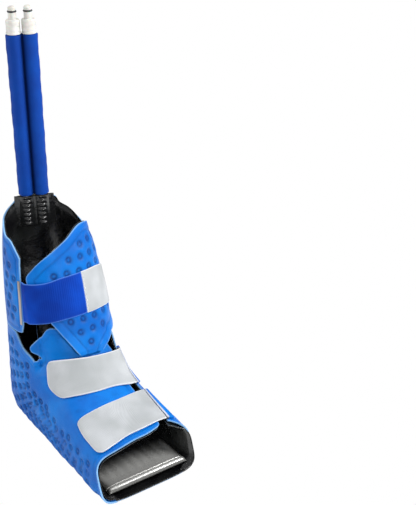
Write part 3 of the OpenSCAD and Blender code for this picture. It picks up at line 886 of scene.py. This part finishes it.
strap(
    "calf_elastic", ELASTIC_NET, "calf_strap", ELASTIC, "elastic", "stretched",
    ["calf_flap_panel", "shin_flap_panel"], rise=elastic_rise, relief=strap_relief(1.7, 0.5 * MM),
    rim_band=1.6 * MM, step=1.5 * MM,
)
strap(
    "calf_hook_tab", TAB_NET, "calf_strap", HOOK, "hook_strap", "laid", ["shin_flap_panel"],
    relief=strap_relief(2.0, 0.2 * MM), rim_band=0.9 * MM, step=1.3 * MM,
    corners=((0, 2, 3 * MM), (1, 2, 3 * MM)),
)
stitches("tab_stitching", TAB_NET, "calf_strap")
for name, net, waves in (("ankle_strap", ANKLE_NET, 1.5), ("toe_strap", TOE_NET, 1.3)):
    strap(
        name, net, name, HOOK, "hook_strap", "laid", ["left_foot_panel"],
        relief=strap_relief(waves, 0.7 * MM), rim_band=0.9 * MM, step=1.6 * MM,
        corners=((0, 5, 7 * MM), (2, 5, 7 * MM)),
    )

# Beside each foot strap's sewn end: a strip of black film as painted shade in the crease at the strap's
# fold, a folded hem and the welded strip, each between two angles from that end and between two heights
# in millimetres
ANCHOR_PARTS = (
    # Black film as painted shade in the crease at the strap's fold
    ("_slot", -5.5, 0.4, 0.3, 2.4, FILM),
    ("_hem", -15, -4.2, 0.3, 3.6, AZURE),
    ("", -4.4, -1.3, 2.5, 4.1, STRIP),
)
for name, net in (("ankle_strap_anchor", ANKLE_NET), ("toe_strap_anchor", TOE_NET)):
    for part, far, near, low, high, material in ANCHOR_PARTS:
        strip = sheet(
            name + part, beside(net, far, near), low * MM, high * MM, material=material, step=1.3 * MM,
            own_node=not part,
        )
        fasten(strip, "boot")


# ---------------------------------------------------------------- hose
HOSE_FOOT = (0.0025, 0.034, 0.297)
HOSE = Matrix.Translation(HOSE_FOOT) @ Matrix.Rotation(math.radians(-22), 4, "Z")
PITCH = 18.6 * MM
SIDES = (("supply", -1), ("return", 1))


def on_tube(side, z=0.0):
    return HOSE @ Matrix.Translation((side * PITCH / 2, 0, z))


def lobed(t, radius, reach):
    """Outline of two joined lobes at turn t: a point of the hose's cross section."""
    x, y = math.cos(t), math.sin(t)
    # Distance from the middle to the lobe along this direction
    along = reach * abs(x)
    r = along + math.sqrt(max(radius**2 - (reach * y) ** 2, 0))
    return r * x, r * y


def hose_sleeve():
    """The foam sleeve over both tubes, with soft dents along it."""
    low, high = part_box("hose_sleeve")
    height = high[2] - low[2]
    end_round = 1.8 * MM
    bm = bmesh.new()
    bmesh.ops.create_grid(bm, x_segments=144, y_segments=150, size=1)
    for v in bm.verts:
        t = (v.co.x + 1) * math.pi
        h = (v.co.y + 1) / 2
        # Rounded ends: the first rows turn in over the cut edge
        from_end = min(1.0, min(h, 1 - h) * height / end_round)
        inset = end_round * (1 - math.sqrt(max(0.0, 1 - (1 - from_end) ** 2)))
        x, y = lobed(t, 9.8 * MM - inset, PITCH / 2)
        dent = 0.25 * MM * math.sin(h * 31 + math.cos(t) * 2) + 0.15 * MM * math.sin(h * 83 + 1)
        grow = 1 + dent / 20e-3
        v.co = HOSE @ Vector((x * grow, y * grow, low[2] - HOSE_FOOT[2] + h * height))
    return closed(bm)


def flat_coordinates(piece):
    """Flat coordinates round the hose: its turn as x and its height as y."""
    uv = piece.data.uv_layers.new(name="cloth")
    inverse = HOSE.inverted()
    for loop in piece.data.loops:
        p = inverse @ piece.data.vertices[loop.vertex_index].co
        uv.data[loop.index].uv = (math.atan2(p.y, p.x) * 14 * MM, p.z)


sleeve = from_bm("hose_sleeve_form", hose_sleeve(), FOAM)
# Painted shade, darkest in the valley between the two lobes, for the foam's colour
from_valley = [(HOSE.inverted() @ v.co).x / (3.2 * MM) for v in sleeve.data.vertices]
mark(sleeve.data, "hollow_shade", [math.exp(-(x**2)) * 0.9 for x in from_valley])
flat_coordinates(sleeve)
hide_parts("hose_sleeve")
fasten(sleeve, "boot")


def port_pouch():
    """The film tab welded round the two ports, ribbed over their barbs."""
    low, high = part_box("port_pouch")
    height = high[2] - low[2]
    half_w = 25 * MM
    bulge, bulge_w, barb_pitch = 6.4 * MM, 7.4 * MM, 6 * MM
    bm = bmesh.new()
    bmesh.ops.create_grid(bm, x_segments=200, y_segments=64, size=1)
    for v in bm.verts:
        t = (v.co.x + 1) * math.pi
        h = (v.co.y + 1) / 2
        z = h * height - height
        x = half_w * math.cos(t)
        side = 1 if math.sin(t) >= 0 else -1
        thick = 0.9 * MM + 2.6 * MM * (1 - (x / half_w) ** 2)
        for reach in (-PITCH / 2, PITCH / 2):
            d = (x - reach) / bulge_w
            barb = 0.7 * MM * math.cos((z + 7.0 * MM) / barb_pitch * 2 * math.pi)
            barb *= math.exp(-((d / 0.5) ** 2))
            if abs(d) < 1.25:
                thick = max(thick, (bulge + barb) * math.sqrt(max(0.0, 1 - (d * 0.8) ** 2)))
        gather = 0.25 * MM * math.sin(x * 900) * smooth(h, 0.85, 1.0)
        wide = 1 + 0.06 * (1 - h)
        v.co = HOSE @ Vector((x * wide, side * (thick + gather), z))
    return closed(bm)


pouch = from_bm("port_pouch_form", port_pouch(), FILM)
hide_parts("port_pouch")
fasten(pouch, "boot")


def turned(name, profile, place, material, fine=0.35 * MM):
    """A piece spun from a half outline of (radius, height) points, edges rounded."""
    bm = bmesh.new()
    points = [bm.verts.new((r, 0, z)) for r, z in profile]
    edges = [bm.edges.new(pair) for pair in zip(points, points[1:])]
    bmesh.ops.spin(
        bm, geom=points + edges, cent=(0, 0, 0), axis=(0, 0, 1), angle=2 * math.pi, steps=48
    )
    bmesh.ops.remove_doubles(bm, verts=bm.verts, dist=0.002 * MM)
    bmesh.ops.recalc_face_normals(bm, faces=bm.faces)
    sharp = [e for e in bm.edges if len(e.link_faces) == 2 and e.calc_face_angle(0) > 0.6]
    bmesh.ops.bevel(
        bm, geom=sharp, offset=fine, offset_type="OFFSET", affect="EDGES", segments=3, profile=0.5,
        clamp_overlap=True, material=-1,
    )
    bmesh.ops.transform(bm, matrix=place, verts=bm.verts)
    bmesh.ops.recalc_face_normals(bm, faces=bm.faces)
    return from_bm(name + "_turned", bm, material)


SEAT = 207 * MM
TUBE_D = 9.6 * MM
# Heights of the tube's points above its foot, in millimetres
TUBE_POINTS = (0, 12, 24, 36, 48, 60, 72, 84, 96, 108, 120, 132, 144, 156, 168, 180, 194, 207)
# Half outline of a coupling, radius and height in millimetres: outside up, bore down
COUPLING = [
    (1.5, 0), (8.9, 0), (8.9, 2), (8.1, 2.6), (8.1, 3.4), (8.4, 4), (8.4, 8.2), (8.15, 8.6),
    (8.15, 9.4), (8.4, 9.8), (8.4, 15.6), (7.6, 17), (5.6, 17), (4.9, 17.8), (4.9, 25.5), (3.6, 25.5),
    (3.6, 27.5), (4.6, 27.5), (4.6, 31), (3.4, 32.5), (2.26, 32.5), (2.26, 14), (3.5, 14), (3.5, 1),
    (1.5, 1), (1.5, 0),
]
for name, side in SIDES:
    line = bpy.data.curves.new(name + "_tube", "CURVE")
    line.dimensions = "3D"
    spline = line.splines.new("POLY")
    spline.points.add(len(TUBE_POINTS) - 1)
    for point, z in zip(spline.points, TUBE_POINTS):
        point.co = (*(on_tube(side) @ Vector((0, 0, z * MM))), 1)
    line.bevel_depth = TUBE_D / 2
    line.bevel_resolution = 8
    line.use_fill_caps = True
    line.materials.append(CLEAR)
    tube = bpy.data.objects.new(name + "_tube_run", line)
    bpy.context.collection.objects.link(tube)
    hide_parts(name + "_tube")
    fasten(tube, "boot")

    outline = [(r * MM, z * MM) for r, z in COUPLING]
    coupling = turned(name + "_coupling", outline, on_tube(side, SEAT), IVORY)
    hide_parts(name + "_coupling")
    fasten(coupling, "boot")

    ring = [
        ((4.6 + math.cos(t)) * MM, (1 + math.sin(t)) * MM) for t in np.linspace(-math.pi, math.pi, 25)
    ]
    seal = turned(name + "_seal", ring, on_tube(side, SEAT + 25.5 * MM), RUBBER, fine=0.01 * MM)
    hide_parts(name + "_seal")
    fasten(seal, "boot")

for node, material in (
    ("supply_port", CLEAR), ("return_port", CLEAR), ("supply_valve", IVORY), ("return_valve", IVORY),
    ("supply_spring", STEEL), ("return_spring", STEEL),
):
    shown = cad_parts[node]
    if shown.material_slots:
        shown.material_slots[0].material = material
    else:
        shown.data.materials.append(material)

# ---------------------------------------------------------------- stage
# The floor takes light like paper, and shows plain white to the camera
floor_mat = Mat("pale_floor", Roughness=0.9)
floor_mat.set(floor_mat.shader.inputs["Base Color"], rgb(0.9, 0.9, 0.9))
glow = floor_mat.tree.nodes.new("ShaderNodeEmission")
seen = floor_mat.node("ShaderNodeLightPath", {})
pick = floor_mat.tree.nodes.new("ShaderNodeMixShader")
floor_mat.set(pick.inputs[0], seen)
floor_mat.tree.links.new(floor_mat.shader.outputs[0], pick.inputs[1])
floor_mat.tree.links.new(glow.outputs[0], pick.inputs[2])
floor_mat.tree.links.new(pick.outputs[0], floor_mat.tree.nodes["Material Output"].inputs[0])

bm = bmesh.new()
bmesh.ops.create_grid(bm, x_segments=2, y_segments=2, size=4)
bmesh.ops.translate(bm, verts=bm.verts, vec=(0, 0, -0.5 * MM))
from_bm("floor", bm, floor_mat.data)

# The world lights softly, and shows plain white to the camera
world = bpy.data.worlds.new("studio")
bpy.context.scene.world = world
world.use_nodes = True
sky = world.node_tree.nodes["Background"]
sky.inputs["Color"].default_value = rgb(1, 1, 1)
sky.inputs["Strength"].default_value = 0.34
bright = world.node_tree.nodes.new("ShaderNodeBackground")
bright.inputs["Color"].default_value = rgb(1, 1, 1)
path = world.node_tree.nodes.new("ShaderNodeLightPath")
both = world.node_tree.nodes.new("ShaderNodeMixShader")
world.node_tree.links.new(path.outputs["Is Camera Ray"], both.inputs[0])
world.node_tree.links.new(sky.outputs[0], both.inputs[1])
world.node_tree.links.new(bright.outputs[0], both.inputs[2])
world.node_tree.links.new(both.outputs[0], world.node_tree.nodes["World Output"].inputs[0])


def softbox(name, where, at, size, power):
    light = bpy.data.lights.new(name, "AREA")
    light.shape = "RECTANGLE"
    light.size, light.size_y = size
    light.energy = power
    lamp = bpy.data.objects.new(name, light)
    lamp.location = where
    lamp.rotation_euler = (Vector(at) - Vector(where)).to_track_quat("-Z", "Y").to_euler()
    bpy.context.collection.objects.link(lamp)


softbox("key", (1.1, -0.9, 1.3), (0, -0.05, 0.2), (0.6, 0.6), 24)
softbox("top", (0.1, 0.2, 1.6), (0, -0.05, 0.2), (0.8, 0.8), 7)
softbox("front", (-0.15, -1.7, 0.75), (0, -0.05, 0.2), (0.25, 0.25), 9)
softbox("rim", (-1.3, 0.7, 0.8), (0, 0, 0.15), (0.5, 1.0), 10)

CAMERA_AT = (-0.54849, -1.08402, 0.80149)
LOOK_DOWN, LOOK_RIGHT = math.radians(25.53), math.radians(36.47)
lens = bpy.data.cameras.new("camera")
lens.sensor_fit = "HORIZONTAL"
lens.sensor_width = 36
lens.lens = 90.09
camera = bpy.data.objects.new("camera", lens)
camera.location = CAMERA_AT
camera.rotation_euler = (math.pi / 2 - LOOK_DOWN, 0, -LOOK_RIGHT)
bpy.context.collection.objects.link(camera)
bpy.context.scene.camera = camera
bpy.context.scene.view_settings.view_transform = "Standard"
